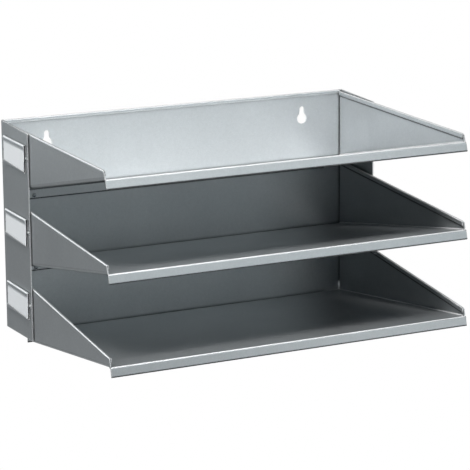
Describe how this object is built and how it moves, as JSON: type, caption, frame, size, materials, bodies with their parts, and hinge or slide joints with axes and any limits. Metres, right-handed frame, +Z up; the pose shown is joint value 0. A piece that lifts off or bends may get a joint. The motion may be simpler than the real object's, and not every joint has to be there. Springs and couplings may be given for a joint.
{
  "type": "desktop file sorter",
  "caption": "Wall-hung desktop file sorter: fanned, tilted sheet-steel letter trays with tapering hemmed sides in a U-shaped back frame with keyholes and side label holders.",
  "frame": {"origin": "midway between the round entries of the two keyholes, on the rear face of the back panel", "axes": "+X to the sorter's right seen from the front, +Y out of the back panel towards the wall, +Z up; the trays open towards -Y"},
  "size_m": [0.3355, 0.2165, 0.198],
  "materials": {
    "frame_steel": "satin silver-grey powder coat on sheet steel",
    "tray_steel": "satin silver-grey powder coat on sheet steel",
    "rivet_steel": "steel rivets under the same satin coat",
    "label_holder_steel": "thin rolled steel under the same satin coat",
    "label_card": "matt white card"
  },
  "bodies": {
    "rack": {"rear_frame": "frame_steel", "tray_top": "tray_steel", "tray_rivets_top": "rivet_steel", "label_holder_top": "label_holder_steel", "label_rivets_top": "rivet_steel", "tray_middle": "tray_steel", "tray_rivets_middle": "rivet_steel", "label_holder_middle": "label_holder_steel", "label_rivets_middle": "rivet_steel", "tray_bottom": "tray_steel", "tray_rivets_bottom": "rivet_steel", "label_holder_bottom": "label_holder_steel", "label_rivets_bottom": "rivet_steel"},
    "card_top": {"label_card_top": "label_card"},
    "card_middle": {"label_card_middle": "label_card"},
    "card_bottom": {"label_card_bottom": "label_card"}
  },
  "joints": [
    {"name": "card_top_slide", "type": "slide", "parent": "rack", "child": "card_top", "axis": [0, -0.9994, -0.0349], "range_m": [0, 0.052]},
    {"name": "card_middle_slide", "type": "slide", "parent": "rack", "child": "card_middle", "axis": [0, -0.9994, -0.0349], "range_m": [0, 0.052]},
    {"name": "card_bottom_slide", "type": "slide", "parent": "rack", "child": "card_bottom", "axis": [0, -0.9994, -0.0349], "range_m": [0, 0.052]}
  ]
}
